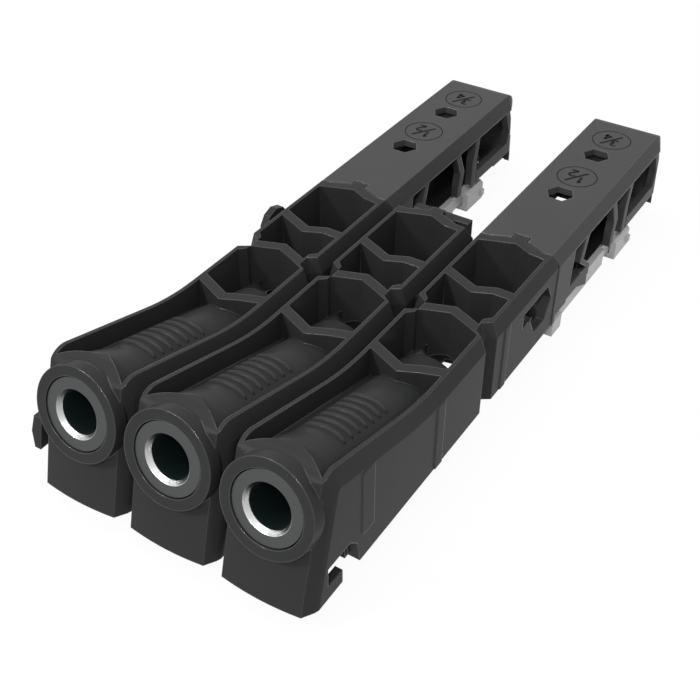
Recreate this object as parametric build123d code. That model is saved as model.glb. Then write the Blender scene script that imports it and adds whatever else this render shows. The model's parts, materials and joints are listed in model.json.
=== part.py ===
"""Pocket hole jig: three coupled drill guides, the outer two with a stop arm behind.

Each guide is one moulding with a hardened bushing that aims a stepped drill 15 degrees down
into the board under it. The guides lie side by side and lock by a short slide: a ten-sided head
and a foot on a guide's left side sit behind the right wall of the next guide. A stop slides
under each arm and sets how far the holes are from the board's end.
"""

from build123d import *
import os
from math import cos, radians, sin

os.makedirs("parts", exist_ok=True)

# Sizes in millimetres, angles in degrees. A guide has its own frame: u runs across it with
# the drill axis at u = 0, y runs to the rear, and z runs up from the face on the board.
PITCH = 23.5
SEATS = {"left": -1, "middle": 0, "right": 1}
ARMED = ("left", "right")
FIXED_GAP = 0.15
RUNNING_GAP = 0.3
THROUGH = 40.0
OVERSHOOT = 1.0

# The drill axis and the bushing.
DRILL_TILT = 15.0
DRILL_R = 4.8
MOUTH_Y = -20.5
MOUTH_Z = 21.5
LEAD_IN_R = 5.5
LEAD_IN_DEPTH = 1.1
FLANGE_R = 8.0
FLANGE_RIM = 1.0
FLANGE_THICK = 2.4
BUSHING_R = 6.4
BUSHING_LENGTH = 32.0
BUSHING_FIT = 0.02

# The guide's outer form.
BODY_HEIGHT = 22.0
TOP_EDGES_ABOVE = 15.0
BODY_LEFT = -10.4
BODY_RIGHT = 11.1
BODY_REAR = 83.8
RIM_LEFT = -9.5
RIM_RIGHT = 9.6
WALL_LEFT = -8.6
WALL_RIGHT = 8.75
RIM_RISE = 10.75
BEVEL_DEPTH = 4.0
LIP_ROUND = 4.6
CROWN_ROUND = 60.0
SKIRT_SETBACK = 0.64
SKIRT_BOW = 0.7
SKIRT_THICK = 2.4
CORNER_FRONT = 1.9
CORNER_SIDE = 2.9
SIDE_RIB_PROUD = 0.25
SIDE_RIBS = ((-6.0, -2.0, 7.0, 23.5), (23.4, 26.4, 0.0, 17.8), (54.8, 57.2, 0.0, 17.8))

# The boss round the bushing and the tube behind it.
BOSS_R = 10.65
BOSS_PROUD = 1.3
GROOVE_R = 8.25
LIP_SIDE = 2.0
LIP_MIDDLE = 7.5
COLLAR_RUN = 6.0
TUBE_R = 9.5
VALLEY_RISE = 5.8
BELLY_RISE = -2.0
RELIEF_FRONT = 40.0
RELIEF_LEFT = -4.4

# The honeycomb of cells. A rib's front edge is a chevron: its y at the left wall, at the
# middle, at the knee and at the right wall.
RIB_THICK = 2.8
KNEE_U = 4.6
RIB_1 = (28.4, 24.6, 26.8, 28.2)
RIB_2 = (45.4, 48.6, 46.7, 44.8)
RIB_3 = (61.8, 58.1, 60.2, 60.2)
REAR_RIB = (78.8, 81.9, 79.7, 79.3)
CORNER_CUT = 1.6
WAIST_Y = 47.7
WAIST_MOUTH = 5.8
WAIST_FLAT = 2.2
WAIST_DEPTH = 2.6
WAIST_BEVEL = 1.0

# The rear tongue that an arm drops over, and the seam on top.
SEAM_SIDE_Y = 81.7
SEAM_MID_Y = 84.1
SEAM_FLAT_U = 7.4
TAB_HALF = 1.8
TAB_LENGTH = 2.2
SEAM_GAP = 0.3
NECK_HALF = 4.0
NECK_LENGTH = 2.9
TEE_HALF = 8.0
TEE_THICK = 2.6
TEE_TOP = 19.5
TEE_FOOT = 2.6

# The couplings between guides.
LOCK_TRAVEL = 5.0
HEAD_R = 5.0
HEAD_THICK = 2.0
HEAD_Y = 68.4
HEAD_Z = 13.1
HEAD_REACH = 17.2
HEAD_NECK_Y = 68.7
HEAD_NECK_LENGTH = 5.0
HEAD_NECK_HEIGHT = 3.1
HEAD_NECK_Z = 13.35
PORT_R = 5.9
PORT_BEYOND = 1.7
PORT_Z = 10.5
TOOTH_HEIGHT = 0.4
TOOTH_LENGTH = 1.2
FOOT_REACH = 17.2
FOOT_THICK = 2.8
FOOT_FRONT = -21.1
FOOT_REAR = -13.4
FOOT_LOW = 4.1
FOOT_HIGH = 11.5
FOOT_BELLY_Z = 7.7
FOOT_CUT_TOP = 0.5
FOOT_CUT_LOW = 1.1
FOOT_NECK_FRONT = -17.8
FOOT_NECK_REAR = -13.6
FOOT_NECK_LOW = 3.9
FOOT_NECK_HIGH = 8.2
FOOT_NECK_CORNER = 2.5
NOTCH_FLARE = 1.0
SOCKET_WALL = 1.8
SOCKET_BACK = 1.8

# The rubber pads under a guide.
PAD_THICK = 1.4
PAD_PROUD = 0.2
PAD_FLOOR = 2.8
PAD_EDGE = 2.4
FRONT_PAD_LEFT = -8.0
FRONT_PAD_RIGHT = 3.6
FRONT_PAD_FRONT = -21.0
FRONT_PAD_REAR = -8.5
REAR_PAD_HALF = 6.6
REAR_PAD_FRONT = 66.5
REAR_PAD_REAR = 77.0

# The stop arm.
ARM_LEFT = -10.2
ARM_RIGHT = 11.3
ARM_BEVEL_TOP = 1.6
ARM_LEFT_BEVEL = 0.75
ARM_SKIN = 2.0
ARM_WALL = 2.2
ARM_END_TOP = 157.1
ARM_END_LOW = 159.25
ARM_END_ROUND = 4.5
ARM_SILL = 3.2
ARM_SILL_FRONT = 92.0
ARM_FOOT_LENGTH = 1.6
ARM_LIP_LENGTH = 2.6
ARM_LIP_LOW = -1.3
CHORD_FRONT = 105.5
CHORD_REAR = 132.6
FREE_RIB_FOOT = 3.2
CLIP = ((96.0, 4.4), (100.3, 7.0), (105.5, 3.6), (105.8, -0.1))
CLIP_THICK = 0.9
TRUSS_FRONT = 93.0
TRUSS_LEAN = 1.0
TRUSS_HIGH = 17.5
TRUSS_KNEE = 10.8
TRUSS_LOW = 6.5
TRUSS_WIDTH = 2.3
TRUSSES = ((101.0, 98.5, 104.0), (118.2, 121.8, 121.0), (131.0, 129.5, 129.5), (150.0, 153.3, 152.4))
ARCH_FRONT = 124.0
ARCH_REAR = 144.0
ARCH_HIGH = 9.3
LEDGE_WIDTH = 1.1
LEDGE_THICK = 1.2
WINDOW_U = -0.6
WINDOW_HALF_U = 3.65
WINDOW_FLAT_U = 1.85
WINDOW_HALF_Y = 3.2
WINDOW_HALF_INCH_Y = 109.6
WINDOW_SPACING = 24.0

# The stop that slides under an arm: a carriage in the arm, a sled below it, and a spring.
STOP_TRAVEL = 12.0
STOP_TOP = 2.1
STOP_PLATE = 1.6
STOP_WEB = 1.8
STOP_WINDOW_ROOM = 1.2
STOP_AHEAD = 2.2
STOP_FACE_HIGH = -0.5
STOP_FACE_STEP = 0.6
STOP_HOOK_LENGTH = 5.5
STOP_HOOK_LOW = -5.0
STOP_LEFT = -9.8
STOP_RIGHT = 11.0
STOP_RAIL_LEFT = -9.0
STOP_RAIL_RIGHT = 10.1
STOP_RAIL_WIDTH = 1.7
STOP_RAIL_LOW = -3.0
STOP_RAIL_REAR = 121.0
STOP_NECK_IN = 1.0
STOP_FLOOR = 1.4
STOP_BLOCK_FRONT = 128.4
STOP_BLOCK_REAR = 138.4
STOP_BLOCK_LOW = -5.3
STOP_BLOCK_EDGE = 0.8
STOP_REAR = 140.5
STOP_SHELL = 1.5
NUB_PROUD = 0.6
NUB_LENGTH = 1.6
NUB_LOW = -4.0
NUB_HIGH = -2.1
SPRING_LEFT = 4.7
SPRING_WIDTH = 3.2
SPRING_LENGTH = 22.0
SPRING_FRONT = 98.0
SPRING_THICK = 0.35
SPRING_SEAT = 0.9
SPRING_FIT = 0.02
SPRING_RUB = 0.1

FRONT_PAD = (FRONT_PAD_LEFT, FRONT_PAD_RIGHT, FRONT_PAD_FRONT, FRONT_PAD_REAR)
REAR_PAD = (-REAR_PAD_HALF, REAR_PAD_HALF, REAR_PAD_FRONT, REAR_PAD_REAR)
STOP_FRONT = BODY_REAR + STOP_AHEAD
ALONG = (0, cos(radians(DRILL_TILT)), -sin(radians(DRILL_TILT)))
ACROSS = (0, sin(radians(DRILL_TILT)), cos(radians(DRILL_TILT)))


def on_axis(along, rise=0.0):
    """The y and z of a point so far down the drill axis from the mouth and above it."""
    y = MOUTH_Y + ALONG[1] * along + ACROSS[1] * rise
    z = MOUTH_Z + ALONG[2] * along + ACROSS[2] * rise
    return y, z


def drill_plane(along):
    """The plane square to the drill axis, so far down it."""
    return Plane(origin=(0, *on_axis(along)), x_dir=(1, 0, 0), z_dir=ALONG)


def drill_cylinder(radius, start, end):
    return extrude(drill_plane(start) * Circle(radius), end - start)


def drill_cone(start_r, end_r, start, end):
    cone = Cone(start_r, end_r, end - start, align=(Align.CENTER, Align.CENTER, Align.MIN))
    return drill_plane(start) * cone


def block(u_low, u_high, y_low, y_high, z_low, z_high):
    size = Box(u_high - u_low, y_high - y_low, z_high - z_low, align=Align.MIN)
    return Pos(u_low, y_low, z_low) * size


def plan_prism(points, z_low, z_high):
    """A prism that stands on an outline given in u and y."""
    outline = make_face(Polyline(*points, close=True))
    return extrude(Plane.XY.offset(z_low) * outline, z_high - z_low)


def side_prism(points, u_low, u_high):
    """A prism across the guide, on an outline given in y and z."""
    outline = make_face(Polyline(*points, close=True))
    return extrude(Plane.YZ.offset(u_low) * outline, u_high - u_low)


def rounded_side_prism(points, radii, u_low, u_high):
    outline = make_face(FilletPolyline(*points, radius=radii, close=True))
    return extrude(Plane.YZ.offset(u_low) * outline, u_high - u_low)


def bevel_top(slab, side, along_side, along_top):
    """Bevels the top edges of one end face of a prism, chosen by their height."""
    face = slab.faces().sort_by(Axis.X)[side]
    edges = [edge for edge in face.edges() if edge.center().Z > TOP_EDGES_ABOVE]
    return chamfer(edges, along_side, along_top, reference=face)


def side_form():
    """The guide seen from its side: sloped nose, crown, level top, its top edges bevelled."""
    foot_rise = -(MOUTH_Z + ALONG[2] * SKIRT_SETBACK) / ACROSS[2]
    bend_along = (MOUTH_Z + ACROSS[2] * RIM_RISE - BODY_HEIGHT) / -ALONG[2]
    points = (
        on_axis(SKIRT_SETBACK, foot_rise),
        on_axis(SKIRT_SETBACK, RIM_RISE),
        on_axis(bend_along, RIM_RISE),
        (BODY_REAR, BODY_HEIGHT),
        (BODY_REAR, 0),
    )
    form = rounded_side_prism(points, (0, LIP_ROUND, CROWN_ROUND, 0, 0), BODY_LEFT, BODY_RIGHT)
    form = bevel_top(form, -1, BEVEL_DEPTH, BODY_RIGHT - RIM_RIGHT)
    return bevel_top(form, 0, BEVEL_DEPTH, RIM_LEFT - BODY_LEFT)


def skirt_form():
    """The plan of the nose, bowed in front and cut at its corners, along the skirt."""
    foot_rise = -(MOUTH_Z + ALONG[2] * SKIRT_SETBACK) / ACROSS[2]
    foot_y, foot_z = on_axis(SKIRT_SETBACK, foot_rise)
    plane = Plane(origin=(0, foot_y, foot_z), x_dir=(1, 0, 0), z_dir=ACROSS)
    corner = BODY_RIGHT - CORNER_FRONT
    side = SKIRT_BOW + CORNER_SIDE
    outer_left = BODY_LEFT - OVERSHOOT
    outer_right = BODY_RIGHT + OVERSHOOT
    far = BODY_REAR - MOUTH_Y + THROUGH
    front = ThreePointArc((BODY_LEFT, SKIRT_BOW), (0, 0), (corner, SKIRT_BOW))
    rest = Polyline(
        (corner, SKIRT_BOW), (BODY_RIGHT, side), (outer_right, side), (outer_right, far),
        (outer_left, far), (outer_left, SKIRT_BOW), (BODY_LEFT, SKIRT_BOW),
    )
    outline = make_face([*front.edges(), *rest.edges()])
    return extrude(plane * outline, BODY_HEIGHT + THROUGH, both=True)


def chevron(edge, shift=0.0):
    """The plan points of a rib's edge, from the left wall to the right wall."""
    left, middle, knee, right = (y + shift for y in edge)
    return [(WALL_LEFT, left), (0, middle), (KNEE_U, knee), (WALL_RIGHT, right)]


def cell(front, rear):
    """A through cell between two ribs."""
    points = chevron(front, RIB_THICK) + chevron(rear)[::-1]
    return plan_prism(points, -THROUGH, THROUGH)


def waist_corners():
    """What the walls keep at the waist, where the cells' corners are cut off."""
    corners = []
    for wall, inward in ((WALL_LEFT, 1), (WALL_RIGHT, -1)):
        reach = WAIST_MOUTH / 2 + CORNER_CUT
        tip = wall + inward * CORNER_CUT
        points = ((wall, WAIST_Y - reach), (tip, WAIST_Y - WAIST_MOUTH / 2),
                  (tip, WAIST_Y + WAIST_MOUTH / 2), (wall, WAIST_Y + reach))
        corners.append(plan_prism(points, 0, BODY_HEIGHT))
    return corners


def waist_outline(side, inward, grow, z):
    """The plan of a waist groove at height z, its flanks moved out by grow."""
    outside = side - inward * WAIST_MOUTH
    tip = side + inward * (WAIST_DEPTH + grow)
    mouth = WAIST_MOUTH / 2 + grow
    flat = WAIST_FLAT / 2 + grow / 2
    points = (
        (outside, WAIST_Y - mouth, z), (side, WAIST_Y - mouth, z), (tip, WAIST_Y - flat, z),
        (tip, WAIST_Y + flat, z), (side, WAIST_Y + mouth, z), (outside, WAIST_Y + mouth, z),
    )
    return make_face(Polyline(*points, close=True))


def waist_grooves():
    """The two upright grooves that leave the guide a narrow waist, bevelled as its top is."""
    grooves = []
    for side, inward in ((BODY_LEFT, 1), (BODY_RIGHT, -1)):
        straight = waist_outline(side, inward, 0, 0)
        bevel_low = waist_outline(side, inward, 0, BODY_HEIGHT - BEVEL_DEPTH)
        bevel_high = waist_outline(side, inward, WAIST_BEVEL, BODY_HEIGHT)
        grooves.append(extrude(straight, BODY_HEIGHT) + loft([bevel_low, bevel_high], ruled=True))
    return grooves


def nose_room(points):
    """A hollow between the walls, ahead of the first rib, on an outline in y and z."""
    room = side_prism(points, WALL_LEFT, WALL_RIGHT)
    far_front = MOUTH_Y - THROUGH
    ahead = [(WALL_RIGHT, far_front), (WALL_LEFT, far_front)] + chevron(RIB_1)
    return room & plan_prism(ahead, -THROUGH, THROUGH)


def tube():
    """The tube that carries the drill, as far back as the second rib."""
    stop = plan_prism(chevron(RIB_2, RIB_THICK / 2) + [(WALL_RIGHT, -THROUGH), (WALL_LEFT, -THROUGH)],
                      -THROUGH, THROUGH)
    return drill_cylinder(TUBE_R, 0, BODY_REAR - MOUTH_Y) & stop


def collar():
    """The wider front of the tube's crown, which flows into the lip."""
    wide = drill_cylinder(BOSS_R, 0, LIP_MIDDLE)
    return wide + drill_cone(BOSS_R, TUBE_R, LIP_MIDDLE, LIP_MIDDLE + COLLAR_RUN)


def recess():
    """The open top between the rims, down to the tube's crown, behind a lip bent like a V."""
    reach = BODY_REAR - MOUTH_Y
    points = (on_axis(0, VALLEY_RISE), on_axis(0, THROUGH),
              on_axis(reach, THROUGH), on_axis(reach, VALLEY_RISE))
    plane = Plane(origin=(0, MOUTH_Y, MOUTH_Z), x_dir=(1, 0, 0), z_dir=ACROSS)
    outline = Polyline((WALL_LEFT, LIP_SIDE), (0, LIP_MIDDLE), (WALL_RIGHT, LIP_SIDE),
                       (WALL_RIGHT, reach), (WALL_LEFT, reach), close=True)
    behind_lip = extrude(plane * make_face(outline), THROUGH)
    return (nose_room(points) & behind_lip) - tube() - collar()


def belly():
    """The hollow under the tube, open below."""
    wall = SKIRT_SETBACK + SKIRT_BOW + SKIRT_THICK
    reach = BODY_REAR - MOUTH_Y
    points = (on_axis(wall, BELLY_RISE), on_axis(wall, -THROUGH),
              on_axis(reach, -THROUGH), on_axis(reach, BELLY_RISE))
    return nose_room(points) - tube()


def pad_floor(pad):
    """The floor plate that a pad is let into, from wall to wall."""
    front, rear = pad[2:]
    return block(WALL_LEFT, WALL_RIGHT, front - PAD_EDGE, rear + PAD_EDGE, 0, PAD_FLOOR)


def pad_recess(pad):
    left, right, front, rear = pad
    return block(left, right, front, rear, -THROUGH, PAD_THICK - PAD_PROUD)


def grip_pad(pad):
    """A rubber pad, its lower edges broken, a little proud of the guide's lower face."""
    left, right, front, rear = pad
    pad_block = block(left + FIXED_GAP, right - FIXED_GAP, front + FIXED_GAP, rear - FIXED_GAP,
                      -PAD_PROUD, PAD_THICK - PAD_PROUD)
    lower = pad_block.faces().sort_by(Axis.Z)[0]
    return chamfer(lower.edges(), PAD_PROUD)


def head_coupling():
    """The ten-sided head on its neck that sticks out of a guide's left side."""
    outline = Pos(HEAD_Y, HEAD_Z) * RegularPolygon(HEAD_R, 10, rotation=18)
    head = extrude(Plane.YZ.offset(-HEAD_REACH) * outline, HEAD_THICK)
    neck = block(-HEAD_REACH, BODY_LEFT, HEAD_NECK_Y - HEAD_NECK_LENGTH / 2,
                 HEAD_NECK_Y + HEAD_NECK_LENGTH / 2, HEAD_NECK_Z - HEAD_NECK_HEIGHT / 2,
                 HEAD_NECK_Z + HEAD_NECK_HEIGHT / 2)
    return head + neck


def head_port():
    """The six-sided opening in the right wall for a neighbour's head, and the slot for its neck."""
    slot_low = HEAD_NECK_Z - HEAD_NECK_HEIGHT / 2 - 2 * RUNNING_GAP
    slot_high = HEAD_NECK_Z + HEAD_NECK_HEIGHT / 2 + 2 * RUNNING_GAP
    slot_front = HEAD_NECK_Y - HEAD_NECK_LENGTH / 2 - 4 * RUNNING_GAP
    port_y = HEAD_NECK_Y + LOCK_TRAVEL + PORT_BEYOND
    outer = BODY_RIGHT + OVERSHOOT
    inner = WALL_RIGHT - OVERSHOOT
    slot = block(inner, outer, slot_front, port_y, slot_low, slot_high)
    port = extrude(Plane.YZ.offset(inner) * Pos(port_y, PORT_Z) * RegularPolygon(PORT_R, 6), outer - inner)
    teeth = []
    for tooth_y in (HEAD_NECK_Y - TOOTH_LENGTH, HEAD_NECK_Y + TOOTH_LENGTH):
        ramp = ((tooth_y - TOOTH_LENGTH, slot_low - OVERSHOOT), (tooth_y - TOOTH_LENGTH, slot_low),
                (tooth_y, slot_low + TOOTH_HEIGHT), (tooth_y + TOOTH_LENGTH / 2, slot_low),
                (tooth_y + TOOTH_LENGTH / 2, slot_low - OVERSHOOT))
        teeth.append(side_prism(ramp, inner - OVERSHOOT, outer + OVERSHOOT))
    return (slot - teeth) + port


def foot_coupling():
    """The T-shaped foot at the front of a guide's left side, its front leant back as the nose is."""
    lean = (FOOT_HIGH - FOOT_LOW) * ACROSS[1] / ACROSS[2]
    head = side_prism(((FOOT_FRONT, FOOT_LOW), (FOOT_REAR, FOOT_LOW),
                       (FOOT_REAR, FOOT_HIGH), (FOOT_FRONT + lean, FOOT_HIGH)),
                      -FOOT_REACH, -FOOT_REACH + FOOT_THICK)
    section = Polyline(
        (-FOOT_REACH + FOOT_CUT_LOW, FOOT_LOW), (-FOOT_REACH, FOOT_BELLY_Z),
        (-FOOT_REACH + FOOT_CUT_TOP, FOOT_HIGH), (BODY_LEFT, FOOT_HIGH), (BODY_LEFT, FOOT_LOW), close=True)
    head &= extrude(Plane.XZ * make_face(section), THROUGH, both=True)
    neck = side_prism(
        ((FOOT_NECK_FRONT, FOOT_NECK_LOW), (FOOT_NECK_REAR, FOOT_NECK_LOW),
         (FOOT_NECK_REAR, FOOT_NECK_HIGH - FOOT_NECK_CORNER),
         (FOOT_NECK_REAR - FOOT_NECK_CORNER, FOOT_NECK_HIGH), (FOOT_NECK_FRONT, FOOT_NECK_HIGH)),
        -FOOT_REACH + FOOT_THICK / 2, BODY_LEFT,
    )
    return head + neck


def foot_notch():
    """The L-shaped opening in the right wall for a neighbour's foot, open below."""
    gap = 1.2 * RUNNING_GAP
    leg_front = FOOT_NECK_FRONT + LOCK_TRAVEL - gap
    leg_rear = FOOT_NECK_REAR + LOCK_TRAVEL + 2 * gap
    ceiling = FOOT_NECK_HIGH + gap
    points = (
        (leg_front, -OVERSHOOT), (leg_front, FOOT_NECK_LOW - gap),
        (FOOT_NECK_FRONT - gap, FOOT_NECK_LOW - gap), (FOOT_NECK_FRONT - gap, ceiling),
        (leg_rear - FOOT_NECK_CORNER, ceiling), (leg_rear, ceiling - FOOT_NECK_CORNER),
        (leg_rear + NOTCH_FLARE, 0), (leg_rear + NOTCH_FLARE, -OVERSHOOT),
    )
    return side_prism(points, BODY_RIGHT - SOCKET_WALL - OVERSHOOT, BODY_RIGHT + OVERSHOOT)


def foot_pocket(grow=0.0):
    """The room behind the right wall for a neighbour's foot, or its casing when grown."""
    face = PITCH - FOOT_REACH
    gap = RUNNING_GAP + grow
    return block(face - gap, BODY_RIGHT - SOCKET_WALL, FOOT_FRONT - gap,
                 FOOT_REAR + LOCK_TRAVEL + gap, -THROUGH, FOOT_HIGH + gap)


def rear_tongue():
    """The T-shaped tongue behind the guide and the tab over its neck."""
    neck_rear = BODY_REAR + NECK_LENGTH
    neck = block(-NECK_HALF, NECK_HALF, BODY_REAR - OVERSHOOT, neck_rear + OVERSHOOT, TEE_FOOT, TEE_TOP)
    tee = block(-TEE_HALF, TEE_HALF, neck_rear, neck_rear + TEE_THICK, TEE_FOOT, TEE_TOP)
    tab = block(-TAB_HALF, TAB_HALF, BODY_REAR - OVERSHOOT, BODY_REAR + TAB_LENGTH,
                TEE_TOP - OVERSHOOT, BODY_HEIGHT)
    return neck + tee + tab


def behind_seam(gap=0.0):
    """All that lies behind the seam and above it: the seam bends round a tab and down the sides."""
    tab_side = TAB_HALF + gap
    tab_rear = BODY_REAR + TAB_LENGTH + gap
    side_y = SEAM_SIDE_Y + gap
    mid_y = SEAM_MID_Y + gap
    rear_y = BODY_REAR + gap
    far_u = BODY_RIGHT + THROUGH
    points = (
        (-far_u, rear_y), (BODY_LEFT, rear_y), (RIM_LEFT, side_y), (-SEAM_FLAT_U, side_y),
        (-tab_side, mid_y), (-tab_side, tab_rear), (tab_side, tab_rear), (tab_side, mid_y),
        (SEAM_FLAT_U, side_y), (RIM_RIGHT, side_y), (BODY_RIGHT, rear_y), (far_u, rear_y),
        (far_u, ARM_END_LOW + THROUGH), (-far_u, ARM_END_LOW + THROUGH),
    )
    return plan_prism(points, BODY_HEIGHT - BEVEL_DEPTH + gap, THROUGH)


def side_ribs():
    """The low upright ribs on the guide's right side."""
    ribs = []
    for front, rear, low, high in SIDE_RIBS:
        ribs.append(block(BODY_RIGHT - SIDE_RIB_PROUD, BODY_RIGHT + SIDE_RIB_PROUD, front, rear, low, high))
    return ribs


def guide_body():
    """The moulded guide with its cells, tube, couplings and tongue."""
    body = side_form() & skirt_form()
    body += drill_cylinder(BOSS_R, -BOSS_PROUD, LIP_SIDE)
    body += side_ribs()
    body -= recess()
    casing = foot_pocket(SOCKET_BACK) & block(0, WALL_RIGHT, MOUTH_Y - THROUGH, BODY_REAR, 0, BODY_HEIGHT)
    body -= belly() - casing - pad_floor(FRONT_PAD)
    rooms = [cell(RIB_1, RIB_2), cell(RIB_2, RIB_3), cell(RIB_3, REAR_RIB)]
    keep = waist_corners() + [tube(), pad_floor(REAR_PAD)]
    for room in rooms:
        body -= room - keep
    for groove in waist_grooves():
        body -= groove
    body -= behind_seam()
    body += rear_tongue()
    body += head_coupling() + foot_coupling()
    body -= head_port()
    body -= foot_notch()
    body -= foot_pocket()
    body -= pad_recess(FRONT_PAD)
    body -= pad_recess(REAR_PAD)
    body -= drill_cylinder(GROOVE_R, -BOSS_PROUD - OVERSHOOT, FLANGE_THICK - FLANGE_RIM)
    body -= drill_cylinder(BUSHING_R + BUSHING_FIT, 0, BODY_REAR - MOUTH_Y)
    axis_high = on_axis(RELIEF_FRONT - MOUTH_Y)[1]
    relief = block(RELIEF_LEFT, WALL_RIGHT, RELIEF_FRONT, RIB_2[1], axis_high, THROUGH)
    relief &= cell(RIB_1, RIB_2)
    body -= relief
    floor = block(-PITCH, PITCH, MOUTH_Y - THROUGH, BODY_REAR + THROUGH, -THROUGH, 0)
    return body - floor


def drill_bushing():
    """The hardened sleeve: a flange, a tube, and a lead-in cone at its mouth."""
    flange = drill_cylinder(FLANGE_R, -FLANGE_RIM, FLANGE_THICK - FLANGE_RIM)
    sleeve = drill_cylinder(BUSHING_R, 0, BUSHING_LENGTH - FLANGE_RIM)
    bore = drill_cylinder(DRILL_R, -FLANGE_RIM, BUSHING_LENGTH)
    lead_in = drill_cone(LEAD_IN_R, DRILL_R, -FLANGE_RIM, LEAD_IN_DEPTH - FLANGE_RIM)
    return flange + sleeve - bore - lead_in


def hexagon(y, z_low, z_high, grow=0.0):
    """A window's six-sided prism, wider across than along."""
    half_u = WINDOW_HALF_U + grow
    flat_u = WINDOW_FLAT_U + grow
    front = y - WINDOW_HALF_Y - grow
    rear = y + WINDOW_HALF_Y + grow
    points = [(-half_u, y), (-flat_u, front), (flat_u, front), (half_u, y), (flat_u, rear), (-flat_u, rear)]
    return Pos(WINDOW_U, 0, 0) * plan_prism(points, z_low, z_high)


def truss_rib(ys, u_low, u_high):
    """One bent rib of the side truss, through the given y at the top, knee and foot."""
    heights = (TRUSS_HIGH + OVERSHOOT, TRUSS_KNEE, TRUSS_LOW, FREE_RIB_FOOT)
    ys = (*ys, ys[-1])
    front = [(y, z) for y, z in zip(ys, heights)]
    rear = [(y + TRUSS_WIDTH, z) for y, z in zip(ys, heights)]
    return side_prism(front + rear[::-1], u_low, u_high)


def arm_front():
    """The y where the room inside the arm begins, behind the guide's tongue."""
    return BODY_REAR + NECK_LENGTH + TEE_THICK + ARM_WALL


def arm_hollow():
    """The inside of the arm, open below."""
    slope = (ARM_END_LOW - ARM_END_TOP) / BODY_HEIGHT
    ceiling = BODY_HEIGHT - ARM_SKIN
    end_high = ARM_END_TOP - ARM_WALL + slope * ARM_SKIN
    end_low = ARM_END_LOW - ARM_WALL
    low = ARM_LIP_LOW - OVERSHOOT
    points = ((arm_front(), low), (arm_front(), ceiling), (end_high, ceiling), (end_low, 0), (end_low, low))
    return side_prism(points, ARM_LEFT + ARM_WALL, ARM_RIGHT - ARM_WALL)


def arm_underside():
    """What is free under the arm's walls, between its front foot and its rear lip."""
    left = ARM_LEFT - OVERSHOOT
    right = ARM_RIGHT + OVERSHOOT
    foot_rear = BODY_REAR + SEAM_GAP + ARM_FOOT_LENGTH
    lip_front = ARM_END_LOW - ARM_LIP_LENGTH
    low = ARM_LIP_LOW - OVERSHOOT
    free = block(left, right, 0, foot_rear + OVERSHOOT, low, 0)
    free += block(left, right, foot_rear, lip_front, low, STOP_TOP + RUNNING_GAP)
    return free + block(left, right, ARM_SILL_FRONT, lip_front, low, ARM_SILL)


def arm_side_windows():
    """The openings of the right wall's truss, and the gap in its lower chord over the sled."""
    inner = ARM_RIGHT - ARM_WALL
    outer = ARM_RIGHT + OVERSHOOT
    window_end = ARM_END_LOW + OVERSHOOT
    opening = side_prism(((TRUSS_FRONT, TRUSS_LOW), (window_end, TRUSS_LOW),
                          (window_end, TRUSS_HIGH), (TRUSS_FRONT + TRUSS_LEAN, TRUSS_HIGH)), inner, outer)
    opening += block(inner, outer, CHORD_FRONT, CHORD_REAR, 0, TRUSS_LOW)
    for ys in TRUSSES:
        opening -= truss_rib(ys, inner, outer)
    return opening


def tongue_room():
    """The slot in the arm's front that the guide's tongue and tab fill."""
    gap = FIXED_GAP
    tab = block(-TAB_HALF - SEAM_GAP, TAB_HALF + SEAM_GAP, 0, BODY_REAR + TAB_LENGTH + SEAM_GAP,
                TEE_TOP - OVERSHOOT, BODY_HEIGHT + OVERSHOOT)
    neck = block(-NECK_HALF - gap, NECK_HALF + gap, 0, BODY_REAR + NECK_LENGTH, -OVERSHOOT, TEE_TOP + gap)
    tee = block(-TEE_HALF - gap, TEE_HALF + gap, BODY_REAR + NECK_LENGTH - gap,
                BODY_REAR + NECK_LENGTH + TEE_THICK + gap, -OVERSHOOT, TEE_TOP + gap)
    return tab + neck + tee


def stop_arm():
    """The arm behind an outer guide: a bevelled channel, its right wall a truss."""
    lip_y = ARM_END_LOW - ARM_LIP_LOW * (ARM_END_LOW - ARM_END_TOP) / BODY_HEIGHT
    points = ((SEAM_SIDE_Y, ARM_LIP_LOW), (SEAM_SIDE_Y, BODY_HEIGHT), (ARM_END_TOP, BODY_HEIGHT),
              (lip_y, ARM_LIP_LOW))
    arm = rounded_side_prism(points, (0, 0, ARM_END_ROUND, 0), ARM_LEFT, ARM_RIGHT)
    arm = bevel_top(arm, -1, BEVEL_DEPTH, ARM_BEVEL_TOP)
    arm = bevel_top(arm, 0, BEVEL_DEPTH, ARM_LEFT_BEVEL)
    ahead = block(-PITCH, PITCH, 0, BODY_REAR + SEAM_GAP, ARM_LIP_LOW - OVERSHOOT, THROUGH)
    arm -= ahead - behind_seam(SEAM_GAP)
    arm -= arm_hollow()
    arm -= tongue_room()
    arm -= arm_underside()
    arm -= arm_side_windows()
    arm += side_prism(CLIP, ARM_RIGHT - CLIP_THICK, ARM_RIGHT)
    arm -= block(ARM_LEFT - OVERSHOOT, ARM_LEFT + ARM_WALL, ARCH_FRONT, ARCH_REAR, 0, ARCH_HIGH)
    ledge_high = BODY_HEIGHT - ARM_SKIN - RUNNING_GAP - STOP_PLATE - RUNNING_GAP
    for edge in (ARM_LEFT + ARM_WALL, ARM_RIGHT - ARM_WALL - LEDGE_WIDTH):
        arm += block(edge, edge + LEDGE_WIDTH, arm_front() - ARM_WALL / 2, ARM_END_TOP - ARM_WALL / 2,
                     ledge_high - LEDGE_THICK, ledge_high)
    for count in (0, 1):
        arm -= hexagon(WINDOW_HALF_INCH_Y + count * WINDOW_SPACING, ARM_SILL, BODY_HEIGHT + OVERSHOOT)
    return arm


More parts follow.
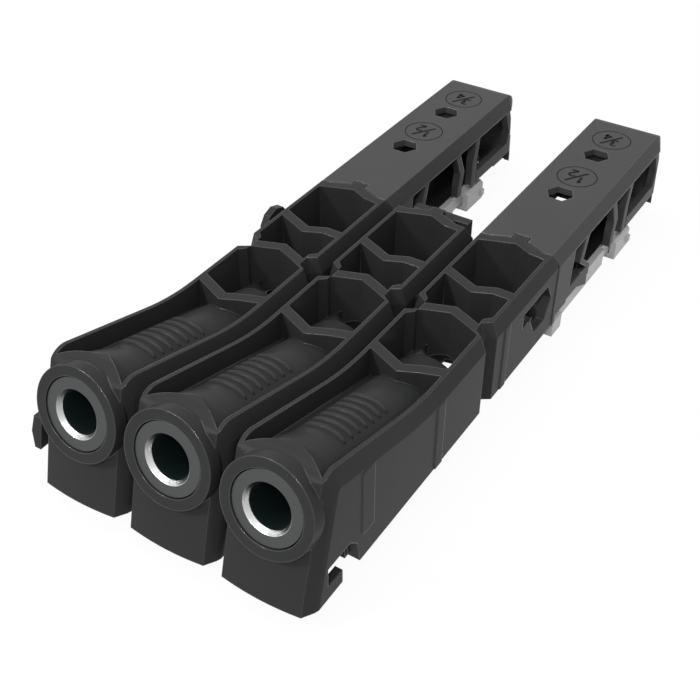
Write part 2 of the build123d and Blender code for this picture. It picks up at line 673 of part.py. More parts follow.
def stop_carriage():
    """The inner part of the stop: a top plate with two windows, two webs and a closed floor."""
    plate_top = BODY_HEIGHT - ARM_SKIN - RUNNING_GAP
    inner_left = ARM_LEFT + ARM_WALL
    inner_right = ARM_RIGHT - ARM_WALL
    web_left = inner_left + LEDGE_WIDTH + RUNNING_GAP
    web_right = inner_right - LEDGE_WIDTH - RUNNING_GAP
    front = arm_front() + RUNNING_GAP
    floor_low = STOP_TOP - STOP_FLOOR
    carriage = block(inner_left + RUNNING_GAP, inner_right - RUNNING_GAP, front, STOP_REAR,
                     plate_top - STOP_PLATE, plate_top)
    carriage += block(web_left, web_right, front, front + STOP_WEB, floor_low, plate_top)
    carriage += block(web_left, web_right, STOP_REAR - STOP_WEB, STOP_REAR, floor_low, plate_top)
    floor_left = STOP_RAIL_LEFT + STOP_RAIL_WIDTH + FIXED_GAP
    floor_right = STOP_RAIL_RIGHT - STOP_RAIL_WIDTH - FIXED_GAP
    carriage += block(floor_left, floor_right, front, STOP_REAR, floor_low, STOP_TOP)
    for shift in (0, WINDOW_SPACING - STOP_TRAVEL):
        window_y = WINDOW_HALF_INCH_Y + shift
        carriage -= hexagon(window_y, plate_top - 2 * STOP_PLATE, BODY_HEIGHT, STOP_WINDOW_ROOM)
    seat = block(SPRING_LEFT - FIXED_GAP, SPRING_LEFT + SPRING_WIDTH + FIXED_GAP, SPRING_FRONT - FIXED_GAP,
                 SPRING_FRONT + SPRING_LENGTH + FIXED_GAP, plate_top - SPRING_SEAT, BODY_HEIGHT)
    return carriage - seat


def stop_sled():
    """The outer part of the stop, under the carriage: a hook, two rails and a rear block."""
    floor_low = STOP_TOP - STOP_FLOOR
    front = STOP_FRONT + STOP_FACE_STEP
    hook_rear = STOP_FRONT + STOP_HOOK_LENGTH
    sled = block(STOP_LEFT, STOP_RIGHT, STOP_FRONT, hook_rear, STOP_HOOK_LOW, STOP_FACE_HIGH)
    sled += block(STOP_RAIL_LEFT, STOP_RAIL_RIGHT, front, hook_rear, STOP_FACE_HIGH, floor_low)
    sled += block(STOP_RAIL_LEFT, STOP_RAIL_RIGHT, front, arm_front(), floor_low, STOP_TOP)
    for edge, neck in ((STOP_RAIL_LEFT, STOP_NECK_IN), (STOP_RAIL_RIGHT - STOP_RAIL_WIDTH, 0)):
        sled += block(edge, edge + STOP_RAIL_WIDTH, front, STOP_RAIL_REAR, STOP_RAIL_LOW, STOP_TOP)
        sled += block(edge + neck, edge + neck + STOP_RAIL_WIDTH - STOP_NECK_IN, front, STOP_BLOCK_REAR,
                      STOP_RAIL_LOW, STOP_TOP)
    rear = block(STOP_LEFT, STOP_RIGHT, STOP_BLOCK_FRONT, STOP_BLOCK_REAR, STOP_BLOCK_LOW, floor_low)
    right = rear.faces().sort_by(Axis.X)[-1]
    rear = chamfer(right.edges().sort_by(Axis.Z)[-1], STOP_BLOCK_EDGE)
    hollow_left = STOP_LEFT + STOP_RAIL_WIDTH
    hollow_right = STOP_RIGHT - STOP_RAIL_WIDTH
    rear -= block(hollow_left, hollow_right, STOP_BLOCK_FRONT - OVERSHOOT,
                  STOP_BLOCK_REAR - STOP_RAIL_WIDTH, STOP_BLOCK_LOW + STOP_SHELL, floor_low - STOP_SHELL)
    nub = block(STOP_RIGHT - NUB_PROUD, STOP_RIGHT + NUB_PROUD,
                STOP_BLOCK_REAR - NUB_LENGTH, STOP_BLOCK_REAR, NUB_LOW, NUB_HIGH)
    return sled + rear + nub


def stop_spring():
    """The bowed leaf that presses the stop's plate down from the arm's ceiling."""
    plate_top = BODY_HEIGHT - ARM_SKIN - RUNNING_GAP
    seat = plate_top - SPRING_SEAT + SPRING_FIT
    crown = BODY_HEIGHT - ARM_SKIN - SPRING_RUB
    rear = SPRING_FRONT + SPRING_LENGTH
    middle = SPRING_FRONT + SPRING_LENGTH / 2
    under = ThreePointArc((SPRING_FRONT, seat), (middle, crown - SPRING_THICK), (rear, seat))
    over = ThreePointArc((rear, seat + SPRING_THICK), (middle, crown), (SPRING_FRONT, seat + SPRING_THICK))
    outline = make_face([
        *under.edges(), *Line((rear, seat), (rear, seat + SPRING_THICK)).edges(),
        *over.edges(), *Line((SPRING_FRONT, seat + SPRING_THICK), (SPRING_FRONT, seat)).edges(),
    ])
    return extrude(Plane.YZ.offset(SPRING_LEFT) * outline, SPRING_WIDTH)


def build_nodes():
    """Every piece by its node's name, in the guides' common frame."""
    body = guide_body()
    bushing = drill_bushing()
    pads = {"front": grip_pad(FRONT_PAD), "rear": grip_pad(REAR_PAD)}
    arm_pieces = {
        "stop_arm": stop_arm(), "stop_carriage": stop_carriage(),
        "stop_sled": stop_sled(), "stop_spring": stop_spring(),
    }
    nodes = {}
    for name, seat in SEATS.items():
        place = Pos(seat * PITCH, 0, 0)
        nodes[f"guide_body_{name}"] = place * body
        nodes[f"drill_bushing_{name}"] = place * bushing
        for end, pad in pads.items():
            nodes[f"grip_pad_{end}_{name}"] = place * pad
        if name in ARMED:
            for piece, shape in arm_pieces.items():
                nodes[f"{piece}_{name}"] = place * shape
    return nodes


nodes = build_nodes()
bounds = Compound(list(nodes.values())).bounding_box()
to_origin = Pos(-bounds.center().X, -bounds.center().Y, -bounds.min.Z)
for node_name, shape in nodes.items():
    export_step(to_origin * shape, f"parts/{node_name}.step")
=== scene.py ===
"""The look of a pocket hole jig: its finishes, the small forms that its solids leave out, its
marks, and the light and view that it is seen in.

Lengths are in metres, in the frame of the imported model: +Y runs from the drill's mouth to the
rear along the arms, +X to the right across the guides, +Z up.
"""

import json
from math import radians, tau

import bpy
import numpy as np
from mathutils import Euler, Matrix, Vector


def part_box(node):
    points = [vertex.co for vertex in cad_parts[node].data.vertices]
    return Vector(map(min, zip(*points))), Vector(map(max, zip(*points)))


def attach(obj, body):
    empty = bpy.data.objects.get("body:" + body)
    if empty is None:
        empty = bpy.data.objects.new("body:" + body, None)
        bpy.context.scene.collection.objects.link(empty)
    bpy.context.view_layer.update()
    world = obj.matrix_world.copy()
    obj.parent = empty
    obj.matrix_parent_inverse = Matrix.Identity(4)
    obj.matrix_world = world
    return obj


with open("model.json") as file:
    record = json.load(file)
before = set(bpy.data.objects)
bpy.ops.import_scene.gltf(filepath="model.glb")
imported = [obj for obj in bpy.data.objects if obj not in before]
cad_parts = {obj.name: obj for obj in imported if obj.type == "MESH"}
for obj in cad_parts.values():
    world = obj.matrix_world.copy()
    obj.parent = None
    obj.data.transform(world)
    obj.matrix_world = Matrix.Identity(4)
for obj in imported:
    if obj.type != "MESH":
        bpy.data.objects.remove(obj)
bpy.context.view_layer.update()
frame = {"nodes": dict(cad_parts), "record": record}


# The photographer's side of it: a camera in front on the right, looking down at the jig, with
# a long lens. The place and the turn are those that the guides' edges give in the reference.
CAMERA_PLACE = (0.112025, -0.195271, 0.175102)
CAMERA_AZIMUTH = 32.42
CAMERA_ELEVATION = 39.08
CAMERA_ROLL = 0.25
CAMERA_LEVEL = 90
LENS_MM = 56.18
SENSOR_MM = 36.0
NEAREST_SEEN = 0.01
FARTHEST_SEEN = 20.0

lens = bpy.data.cameras.new("camera")
lens.lens = LENS_MM
lens.sensor_width = SENSOR_MM
lens.clip_start = NEAREST_SEEN
lens.clip_end = FARTHEST_SEEN
camera = bpy.data.objects.new("camera", lens)
aim = Euler((radians(CAMERA_LEVEL - CAMERA_ELEVATION), 0, radians(CAMERA_AZIMUTH))).to_matrix()
roll = Matrix.Rotation(radians(CAMERA_ROLL), 3, "Z")
camera.matrix_world = Matrix.Translation(CAMERA_PLACE) @ (aim @ roll).to_4x4()
bpy.context.scene.collection.objects.link(camera)
bpy.context.scene.camera = camera
bpy.context.scene.view_settings.view_transform = "Standard"


# The studio: a white floor that runs on into a white background, under one broad soft panel.
# Small panels in front light the edges and the bosses' rims, and a faint one the steel mouths.
FLOOR_SIDE = 6.0
FLOOR_SHADOW = 0.06
FLOOR_PAINT = 0.55
FLOOR_WHITE = 0.95
ROOM_WHITE = (1.0, 1.0, 1.0)
ROOM_LIGHT = 0.52
WHITE_STRENGTH = 1.0
PANELS = {
    "overhead_panel": {"place": (-0.15, 0.05, 1.0), "side": 0.6, "watts": 4.0},
    "edge_panel": {"place": (-0.42, -0.63, 0.65), "side": 0.12, "watts": 3.6},
    "rim_panel": {"place": (0.30, -0.58, 0.75), "side": 0.10, "watts": 3.0},
    "mouth_panel": {"place": (0.30, -0.80, 0.50), "side": 0.14, "watts": 0.2},
}


class Value:
    """A socket of a material's nodes. Arithmetic on it adds Math nodes to that material."""

    def __init__(self, finish, socket):
        self.finish = finish
        self.socket = socket

    def calculated(self, operation, *terms):
        return self.finish.node("ShaderNodeMath", {"operation": operation}, terms)

    def __add__(self, other):
        return self.calculated("ADD", self, other)

    def __sub__(self, other):
        return self.calculated("SUBTRACT", self, other)

    def __rsub__(self, other):
        return self.calculated("SUBTRACT", other, self)

    def __mul__(self, other):
        return self.calculated("MULTIPLY", self, other)

    def __gt__(self, other):
        return self.calculated("GREATER_THAN", self, other)

    def __lt__(self, other):
        return self.calculated("LESS_THAN", self, other)

    def root(self):
        return self.calculated("SQRT", self)

    def capped(self):
        """The value, but no more than 1."""
        return self.calculated("MINIMUM", self, 1.0)

    __radd__ = __add__
    __rmul__ = __mul__


class Finish:
    """A finish as it is mixed: the nodes of one material, or of the room's light."""

    def __init__(self, owner):
        owner.use_nodes = True
        self.owner = owner
        self.tree = owner.node_tree
        self.tree.nodes.clear()

    def node(self, kind, settings=None, sockets=None, output=0):
        """Adds a node, sets its settings first and then its sockets, which are given by their
        names or else in their order, and gives one output."""
        made = self.tree.nodes.new(kind)
        for name, setting in (settings or {}).items():
            setattr(made, name, setting)
        named_or_counted = sockets.items() if isinstance(sockets, dict) else enumerate(sockets or ())
        for name, given in named_or_counted:
            if isinstance(given, Value):
                self.tree.links.new(given.socket, made.inputs[name])
            else:
                made.inputs[name].default_value = given
        return Value(self, made.outputs[output]) if made.outputs else made


def opaque(colour):
    """A colour with its alpha."""
    return (*colour, 1.0)


def white_to_the_lens(finish):
    """1 for the rays that see the background, in the lens, in a shiny surface or through a clear
    one, else 0."""
    kinds = ("Is Camera Ray", "Is Glossy Ray", "Is Transmission Ray")
    lens_ray, glossy_ray, clear_ray = (finish.node("ShaderNodeLightPath", output=kind) for kind in kinds)
    return (lens_ray + glossy_ray + clear_ray).capped()


room = Finish(bpy.data.worlds.new("room"))
bpy.context.scene.world = room.owner
seen = white_to_the_lens(room)
room.node("ShaderNodeOutputWorld", None, {
    "Surface": room.node("ShaderNodeBackground", None, {
        "Color": opaque(ROOM_WHITE), "Strength": seen * WHITE_STRENGTH + (1 - seen) * ROOM_LIGHT})})

# The lens sees the floor glow white, but for the small share of its paint that takes shadows.
sweep = Finish(bpy.data.materials.new("white_sweep"))
seen = white_to_the_lens(sweep)
paint = sweep.node("ShaderNodeBsdfDiffuse", None, {
    "Color": FLOOR_PAINT + seen * (FLOOR_WHITE - FLOOR_PAINT)})
glow = sweep.node("ShaderNodeEmission", None, {"Strength": WHITE_STRENGTH})
sweep.node("ShaderNodeOutputMaterial", None, {
    "Surface": sweep.node("ShaderNodeMixShader", None, (seen * (1 - FLOOR_SHADOW), paint, glow))})

half = FLOOR_SIDE / 2
floor_mesh = bpy.data.meshes.new("floor")
floor_corners = [(-half, -half, 0), (half, -half, 0), (half, half, 0), (-half, half, 0)]
floor_mesh.from_pydata(floor_corners, [], [(0, 1, 2, 3)])
floor_mesh.materials.append(sweep.owner)
floor = bpy.data.objects.new("floor", floor_mesh)
bpy.context.scene.collection.objects.link(floor)

for name, panel in PANELS.items():
    lamp = bpy.data.lights.new(name, "AREA")
    lamp.size = panel["side"]
    lamp.energy = panel["watts"]
    light = bpy.data.objects.new(name, lamp)
    place = Vector(panel["place"])
    light.matrix_world = Matrix.Translation(place) @ place.to_track_quat("Z", "Y").to_matrix().to_4x4()
    bpy.context.scene.collection.objects.link(light)


# The guides: black moulded plastic, taken to be glass-filled nylon, each body in one piece. The
# faces have a fine even grain and faint clouds, and the edges are a little round and shinier.
SIDES = ("left", "middle", "right")
GUIDE_NYLON = (0.031, 0.0315, 0.0315)
NYLON_ROUGHNESS = 0.34
NYLON_GLOSS = 0.04
NYLON_EDGE = 0.00045
CLOUD_SCALE = 60.0
CLOUD_DETAIL = 3.0
CLOUD_MEAN = 0.5
CLOUD_TONE = 0.07
CLOUD_ROUGHNESS = 0.08
GRAIN_SCALE = 5200.0
GRAIN_DETAIL = 1.0
GRAIN_DEPTH = 0.00008
GRAIN_STRENGTH = 0.12
EDGE_SAMPLES = 8
EDGE_GAIN = 7.0
EDGE_ROUGHNESS = 0.25
EDGE_GLOSS = 0.5

# A Mix node has sockets for numbers, vectors and colours. These are the places of its share, its
# two colours and its mixed colour.
COLOUR_SOCKETS = (0, 6, 7)
MIXED_COLOUR = 2


def mixed(finish, share, first, second):
    """A colour between two: the first where the share is 0, the second where it is 1."""
    sockets = dict(zip(COLOUR_SOCKETS, (share, first, second)))
    return finish.node("ShaderNodeMix", {"data_type": "RGBA"}, sockets, MIXED_COLOUR)


def dotted(finish, first, second):
    """The dot product of two vectors."""
    return finish.node("ShaderNodeVectorMath", {"operation": "DOT_PRODUCT"}, (first, second), "Value")


def moulded(name, colour, roughness=NYLON_ROUGHNESS, gloss=NYLON_GLOSS, edge_radius=NYLON_EDGE):
    """Moulded plastic, shinier at its edges: 1 less the dot product of the rounded normal and the
    face's own, times a gain, is the share of the shinier surface."""
    finish = Finish(bpy.data.materials.new(name))
    place = finish.node("ShaderNodeTexCoord", output="Object")
    cloud = finish.node("ShaderNodeTexNoise", None, {
        "Vector": place, "Scale": CLOUD_SCALE, "Detail": CLOUD_DETAIL})
    grain = finish.node("ShaderNodeTexNoise", None, {
        "Vector": place, "Scale": GRAIN_SCALE, "Detail": GRAIN_DETAIL})
    rounded = finish.node("ShaderNodeBevel", {"samples": EDGE_SAMPLES}, {"Radius": edge_radius})
    flat = finish.node("ShaderNodeNewGeometry", output="Normal")
    surface = finish.node("ShaderNodeBump", None, {
        "Strength": GRAIN_STRENGTH, "Distance": GRAIN_DEPTH, "Height": grain, "Normal": rounded})
    darker, lighter = (opaque(shade * c for c in colour) for shade in (1 - CLOUD_TONE, 1 + CLOUD_TONE))
    tone = mixed(finish, cloud, darker, lighter)
    face = finish.node("ShaderNodeBsdfPrincipled", None, {
        "Base Color": tone, "Roughness": roughness + (cloud - CLOUD_MEAN) * CLOUD_ROUGHNESS,
        "Specular IOR Level": gloss, "Normal": surface})
    edge = finish.node("ShaderNodeBsdfPrincipled", None, {
        "Base Color": tone, "Roughness": EDGE_ROUGHNESS, "Specular IOR Level": EDGE_GLOSS,
        "Normal": surface})
    share = ((1 - dotted(finish, rounded, flat)) * EDGE_GAIN).capped()
    finish.node("ShaderNodeOutputMaterial", None, {
        "Surface": finish.node("ShaderNodeMixShader", None, (share, face, edge))})
    return finish.owner


def wear(node_names, material):
    """Gives CAD pieces their finish."""
    for node_name in node_names:
        slots = frame["nodes"][node_name].data.materials
        slots.clear()
        slots.append(material)


guide_nylon = moulded("guide_nylon", GUIDE_NYLON)
wear([f"guide_body_{side}" for side in SIDES], guide_nylon)


# The grip ribs: seven low plain ribs across the crown of each guide's tube, between its rims.
# They are part of the guide's moulding, and have its finish.
MM_IN_METRE = 1000
TUBE_RADIUS = 0.0095
RIB_COUNT = 7
RIB_FIRST = 0.0165
RIB_SPACING = 0.0027
RIB_WIDTH = 0.0012
RIB_PROUD = 0.0008
RIB_SINK = 0.0003
RIB_REACH = radians(31)
RIB_FADE = 6
RIB_STEPS = 41
RIB_SIDES = 16


def quads(rows, columns, closed=False):
    """The faces of a grid of points that closes across its columns, and along its rows if asked."""
    row = np.arange(rows if closed else rows - 1)[:, None]
    column = np.arange(columns)[None, :]
    next_row = (row + 1) % rows
    next_column = (column + 1) % columns
    corners = (row * columns + column, row * columns + next_column,
               next_row * columns + next_column, next_row * columns + column)
    return np.stack(np.broadcast_arrays(*corners), axis=-1).reshape(-1, 4)


def moulded_piece(name, surfaces, material, side):
    """One object of several closed surfaces, each its points and groups of faces, on a guide."""
    firsts = np.cumsum([0] + [len(points) for points, _ in surfaces[:-1]])
    points = np.concatenate([points for points, _ in surfaces])
    faces = []
    for first, (_, groups) in zip(firsts, surfaces):
        for group in groups:
            faces += (group + first).tolist()
    mesh = bpy.data.meshes.new(name)
    mesh.from_pydata(points.tolist(), [], faces)
    mesh.materials.append(material)
    made = bpy.data.objects.new(name, mesh)
    bpy.context.scene.collection.objects.link(made)
    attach(made, f"guide_{side}")


def drill_bore(side):
    """Where the bore begins behind its lead-in, the way in along its axis, the way up square to
    the axis, and the bore's radius."""
    mount = next(m for m in frame["record"]["mounts"] if m["name"] == f"drill_bore_{side}")
    inward = -np.array(mount["axis"])
    length = mount["dims"]["length_mm"] / MM_IN_METRE
    start = np.array(mount["pos_m"]) - inward * length / 2
    return start, inward, np.array((0, -inward[2], inward[1])), mount["dims"]["r_mm"] / MM_IN_METRE


def grip_rib(side, along):
    """One rib. Over the angle a round the tube and the turn t of the rib's section, a point's
    radius is the tube's, less the sink, plus h sin t, and its place along the axis moves by
    w cos t. Both h and w fall to nothing as the root of 1 - (a / reach)^6, so the first and the
    last section are one point each."""
    start, inward, up, _ = drill_bore(side)
    rightward = np.array((1.0, 0.0, 0.0))
    angle = np.linspace(-RIB_REACH, RIB_REACH, RIB_STEPS)[:, None, None]
    turned = np.linspace(0, tau, RIB_SIDES, endpoint=False)[None, :, None]
    fade = np.sqrt(1 - (angle / RIB_REACH) ** RIB_FADE)
    radius = TUBE_RADIUS - RIB_SINK + (RIB_PROUD + RIB_SINK) * fade * np.sin(turned)
    forward = along + RIB_WIDTH / 2 * fade * np.cos(turned)
    outward = np.cos(angle) * up + np.sin(angle) * rightward
    sections = start + forward * inward + radius * outward
    points = np.concatenate((sections[0, :1], sections[1:-1].reshape(-1, 3), sections[-1, :1]))
    corner = np.arange(RIB_SIDES)
    following = (corner + 1) % RIB_SIDES
    last_section = len(points) - 1 - RIB_SIDES
    first_end = np.column_stack((np.zeros_like(corner), following + 1, corner + 1))
    last_end = np.column_stack((corner, following, np.full_like(corner, RIB_SIDES))) + last_section
    return points, [quads(RIB_STEPS - 2, RIB_SIDES) + 1, first_end, last_end]


for side in SIDES:
    ribs = [grip_rib(side, RIB_FIRST + RIB_SPACING * count) for count in range(RIB_COUNT)]
    moulded_piece(f"grip_ribs_{side}", ribs, guide_nylon, side)


# The corner webs: a thin web in the left rear corner of each guide's second cell, just above the
# guide's lower face. It is joined to the left wall, and its shape is a guess.
WEB_HEIGHTS = (0.0054, 0.0065)
WEB_LEFT = -0.0089
WEB_FRONT = -0.0129
WEB_REAR = -0.0071
WEB_EDGE = ((-0.0052, WEB_FRONT), (-0.0046, -0.0104), (-0.0022, -0.0099), (-0.0022, WEB_REAR))


def middle_of(side):
    """The x of a guide's middle plane, in which its bore's axis lies."""
    start, *_ = drill_bore(side)
    return start[0]


def plate(outline, heights):
    """A flat plate: its outline, counterclockwise from above, carried up from one height to the other."""
    count = len(outline)
    layers = len(heights)
    points = np.column_stack((np.tile(outline, (layers, 1)), np.repeat(heights, count)))
    corner = np.arange(count)
    return points, [quads(layers, count), corner[None, ::-1], corner[None, :] + count]


for side in SIDES:
    outline = np.array(((WEB_LEFT, WEB_FRONT), *WEB_EDGE, (WEB_LEFT, WEB_REAR))) + (middle_of(side), 0)
    moulded_piece(f"corner_web_{side}", [plate(outline, WEB_HEIGHTS)], guide_nylon, side)


# The bushings: sleeves of hardened steel, turned and blackened, each pressed into its boss up to the
# flange. The lead-in at the mouth is bright steel, with painted shade that darkens its upper part. The
# bore behind it has a dark teal tone that is painted shade.
BLACKENED = (0.088, 0.090, 0.090)
# Painted shade: the bore's dark teal tone stands for the shade inside the hole.
BORE_PAINTED_SHADE = (0.07, 0.105, 0.11)
LEAD_IN_BRIGHT = (0.64, 0.64, 0.64)
# Painted shade: the lead-in darkens to this tone towards its top, from the first height above the axis to
# the second.
LEAD_IN_PAINTED_SHADE = (0.12, 0.12, 0.12)
PAINTED_SHADE_FROM = -0.0032
PAINTED_SHADE_TO = 0.0026
BORE_SLACK = 0.00005
LEAD_IN_RADIUS = 0.00556
LEAD_IN_SLACK = 0.00001
TURNING_PITCH = 0.00022
TURNING_SHARE = 0.5
TURNING_DEPTH = 0.00002
TURNING_STRENGTH = 0.25
STREAK_SCALE = 9000
STREAK_DETAIL = 2.0
STREAK_ROUGHNESS = 0.08
STEEL_EDGE = 0.0002
STEEL_ROUGHNESS = 0.42
LEAD_IN_ROUGHNESS = 0.25


def turned_steel(side):
    """Steel turned about the drill's axis, with a bright lead-in whose upper part is darkened by painted
    shade, and a bore behind it painted dark as shade. A point's radius is the root of its distance
    squared less its depth squared."""
    start, inward, up, bore_radius = drill_bore(side)
    finish = Finish(bpy.data.materials.new(f"bushing_steel_{side}"))
    place = finish.node("ShaderNodeTexCoord", output="Object")
    offset = finish.node("ShaderNodeVectorMath", {"operation": "SUBTRACT"}, (place, tuple(start)))
    distance = finish.node("ShaderNodeVectorMath", {"operation": "LENGTH"}, (offset,), "Value")
    depth = dotted(finish, offset, tuple(inward))
    radius = (distance * distance - depth * depth).root()
    in_bore = (radius < bore_radius + BORE_SLACK) * (depth > LEAD_IN_SLACK)
    in_lead = (radius < LEAD_IN_RADIUS) * (depth < LEAD_IN_SLACK)
    streak = finish.node("ShaderNodeTexNoise", {"noise_dimensions": "1D"}, {
        "W": radius * STREAK_SCALE, "Detail": STREAK_DETAIL})
    rings = finish.node("ShaderNodeMath", {"operation": "SINE"}, (radius * (tau / TURNING_PITCH),))
    surface = finish.node("ShaderNodeBump", None, {
        "Strength": TURNING_STRENGTH, "Distance": TURNING_DEPTH, "Height": rings * TURNING_SHARE + streak,
        "Normal": finish.node("ShaderNodeBevel", {"samples": EDGE_SAMPLES}, {"Radius": STEEL_EDGE})})
    # Painted shade on the lead-in, darker towards its top.
    painted_shade = finish.node("ShaderNodeMapRange", None, {
        "Value": dotted(finish, offset, tuple(up)), "From Min": PAINTED_SHADE_FROM, "From Max": PAINTED_SHADE_TO})
    lead_in_steel_and_painted_shade = mixed(finish, painted_shade, opaque(LEAD_IN_BRIGHT), opaque(LEAD_IN_PAINTED_SHADE))
    outer_tone = mixed(finish, in_lead, opaque(BLACKENED), lead_in_steel_and_painted_shade)
    # The bore takes its painted shade.
    tone = mixed(finish, in_bore, outer_tone, opaque(BORE_PAINTED_SHADE))
    smoother = in_lead * (STEEL_ROUGHNESS - LEAD_IN_ROUGHNESS)
    finish.node("ShaderNodeOutputMaterial", None, {
        "Surface": finish.node("ShaderNodeBsdfPrincipled", None, {
            "Base Color": tone, "Metallic": 1.0,
            "Roughness": STEEL_ROUGHNESS - smoother + STREAK_ROUGHNESS * streak, "Normal": surface})})
    return finish.owner


for side in SIDES:
    wear([f"drill_bushing_{side}"], turned_steel(side))


# The grip pads: matt moulded rubber, two under each guide, each in a shallow seat that it stands
# out of a little, so that it rests on the board.
PAD_RUBBER = (0.030, 0.030, 0.031)
PAD_ROUGHNESS = 0.80

rubber = moulded("pad_rubber", PAD_RUBBER, roughness=PAD_ROUGHNESS)
wear([f"grip_pad_{end}_{side}" for end in ("front", "rear") for side in SIDES], rubber)


# The stop arms: the same moulded plastic as the guides, a little lighter in tone. Each is dropped
# over the tongue behind an outer guide, and the stop's carriage slides inside it.
ARMED = ("left", "right")
ARM_NYLON = (0.060, 0.0605, 0.0605)

arm_nylon = moulded("arm_nylon", ARM_NYLON)
wear([f"stop_arm_{side}" for side in ARMED], arm_nylon)


# The rear bridges: a thin plate across each arm's open bottom, which reaches forwards from the
# lower edge of the rear lip. It is part of the arm's moulding, and its shape is a guess.
BRIDGE_LEFT = -0.0085
BRIDGE_RIGHT = 0.0085
BRIDGE_FRONT = 0.0837
BRIDGE_REAR = 0.0905
BRIDGE_HEIGHTS = (0.0041, 0.0048)

for side in ARMED:
    left = middle_of(side) + BRIDGE_LEFT
    right = middle_of(side) + BRIDGE_RIGHT
    outline = ((left, BRIDGE_FRONT), (right, BRIDGE_FRONT), (right, BRIDGE_REAR), (left, BRIDGE_REAR))
    moulded_piece(f"rear_bridge_{side}", [plate(outline, BRIDGE_HEIGHTS)], arm_nylon, side)


# The marks behind the windows: the board's thickness in inches, one half and three quarters, each in a
# ring. Fine strokes on the arm's top, painted dark as the shade in engraved lines, read from behind the
# jig.
# Painted shade: the strokes are dark as engraved lines lying in shade would be.
MARK_PAINTED_SHADE = (0.012, 0.013, 0.013)
MARK_ROUGHNESS = 0.6
MARK_X = -0.0004
HALF_INCH_Y = 0.0531
MARK_SPACING = 0.0241
FULL_CIRCLE = 360
RING_RADIUS = 0.0053
RING_STEPS = 72
RING_WIDTH = 0.0003
ARC_STEPS = 17
DIGIT_WIDTH = 0.0007
DIGIT_SCALE = 0.00105
STROKE_PROUD = 0.00004
STROKE_SINK = 0.0002


def arc(centre, radius, start, end, steps=ARC_STEPS):
    """Points on an arc from one angle to another, in degrees, in the mark's own plane. Each lies
    from the centre by the radius times the angle's cosine and sine."""
    angle = np.radians(np.linspace(start, end, steps))
    return np.stack((centre[0] + radius * np.cos(angle), centre[1] + radius * np.sin(angle)), axis=-1)


# The strokes of each digit about its own centre, in units of the digit's scale.
DIGITS = {
    "1": [[(-0.55, 0.75), (0.05, 1.5)], [(0.05, 1.5), (0.05, -1.5)]],
    "2": [arc((0, 0.7), 0.8, 165, -35), [(0.66, 0.25), (-0.85, -1.5)], [(-0.85, -1.5), (0.95, -1.5)]],
    "3": [arc((0, 0.75), 0.72, 150, -90), arc((0, -0.72), 0.76, 90, -150)],
    "4": [[(0.45, -1.5), (0.45, 1.5)], [(0.45, 1.5), (-0.85, -0.6)], [(-0.85, -0.6), (1.0, -0.6)]],
}
SLASH = ((-0.0021, -0.0031), (0.0021, 0.0033))
OVER_PLACE = (-0.00135, 0.00125)
UNDER_PLACE = (0.00155, -0.00125)
HALF_TURN = (-1.0, -1.0, 1.0)


def stroke(path, width, closed=False):
    """A flat ribbon along a path in the mark's plane. Each point of the path gives four corners:
    half a width to each side along the path's normal, sunk in the arm's top or a little proud."""
    path = np.asarray(path, float)
    if closed:
        tangent = np.roll(path, -1, axis=0) - np.roll(path, 1, axis=0)
    else:
        tangent = np.gradient(path, axis=0)
    tangent /= np.linalg.norm(tangent, axis=1, keepdims=True)
    sideways = np.stack((-tangent[:, 1], tangent[:, 0]), axis=-1) * width / 2
    flat = np.stack((path + sideways, path + sideways, path - sideways, path - sideways), axis=1)
    height = np.broadcast_to((-STROKE_SINK, STROKE_PROUD, STROKE_PROUD, -STROKE_SINK), flat.shape[:2])
    points = np.concatenate((flat, height[..., None]), axis=-1).reshape(-1, 3)
    count = flat.shape[1]
    corner = np.arange(count)
    ends = [] if closed else [corner[None, ::-1], corner[None, :] + len(points) - count]
    return points, [quads(len(path), count, closed), *ends]


def mark(centre, over, under):
    """A ring, a slash and two digits about a centre, their up towards the front of the jig."""
    last_angle = FULL_CIRCLE - FULL_CIRCLE / RING_STEPS
    strokes = [stroke(arc((0, 0), RING_RADIUS, 0, last_angle, RING_STEPS), RING_WIDTH, closed=True)]
    strokes.append(stroke(SLASH, DIGIT_WIDTH))
    for digit, place in ((over, OVER_PLACE), (under, UNDER_PLACE)):
        strokes += [stroke(np.asarray(line) * DIGIT_SCALE + place, DIGIT_WIDTH) for line in DIGITS[digit]]
    return [(points * HALF_TURN + centre, faces) for points, faces in strokes]


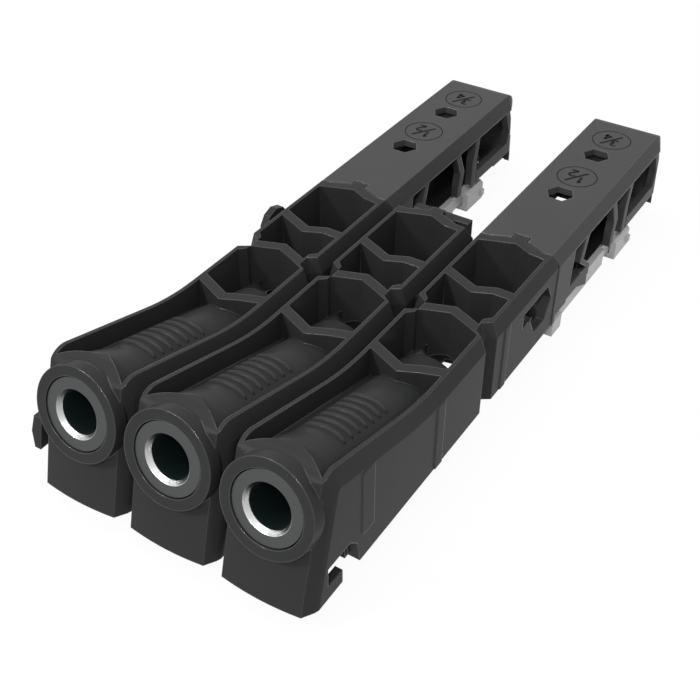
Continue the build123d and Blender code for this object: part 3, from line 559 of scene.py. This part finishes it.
# The strokes carry painted shade.
mark_painted_shade = moulded("mark_painted_shade", MARK_PAINTED_SHADE, roughness=MARK_ROUGHNESS, edge_radius=STROKE_PROUD)
for side in ARMED:
    mark_x = middle_of(side) + MARK_X
    arm_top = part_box(f"stop_arm_{side}")[1].z
    half_inch = mark((mark_x, HALF_INCH_Y, arm_top), "1", "2")
    three_quarters = mark((mark_x, HALF_INCH_Y + MARK_SPACING, arm_top), "3", "4")
    moulded_piece(f"scale_marks_{side}", half_inch + three_quarters, mark_painted_shade, side)


# The stops: a carriage that slides inside the arm, painted near black as the shade inside the arm, and a
# grey sled below it, with the hook that meets the board's end. Both are moulded plastic.
# Painted shade: the carriage's near-black tone stands for the shade inside the arm.
CARRIAGE_PAINTED_SHADE = (0.015, 0.0155, 0.0155)
SLED_NYLON = (0.50, 0.49, 0.50)
SLED_GLOSS = 0.35
SLED_EDGE = 0.0003

# The carriage's finish is painted shade.
wear([f"stop_carriage_{side}" for side in ARMED], moulded("carriage_painted_shade", CARRIAGE_PAINTED_SHADE))
sled_nylon = moulded("sled_nylon", SLED_NYLON, gloss=SLED_GLOSS, edge_radius=SLED_EDGE)
wear([f"stop_sled_{side}" for side in ARMED], sled_nylon)


# The springs: a bowed leaf of tempered steel strip on each carriage, hidden under the arm's top.
# Its fine scratches run along the strip.
LEAF_STEEL = (0.22, 0.24, 0.28)
LEAF_ROUGHNESS = 0.24
SCRATCH_SCALE = (6000.0, 200.0, 6000.0)
SCRATCH_ROUGHNESS = 0.2

leaf = Finish(bpy.data.materials.new("leaf_steel"))
scratch = leaf.node("ShaderNodeTexNoise", None, {
    "Vector": leaf.node("ShaderNodeMapping", None, {
        "Vector": leaf.node("ShaderNodeTexCoord", output="Object"), "Scale": SCRATCH_SCALE})})
leaf.node("ShaderNodeOutputMaterial", None, {
    "Surface": leaf.node("ShaderNodeBsdfPrincipled", None, {
        "Base Color": opaque(LEAF_STEEL), "Metallic": 1.0,
        "Roughness": LEAF_ROUGHNESS + scratch * SCRATCH_ROUGHNESS})})
wear([f"stop_spring_{side}" for side in ARMED], leaf.owner)
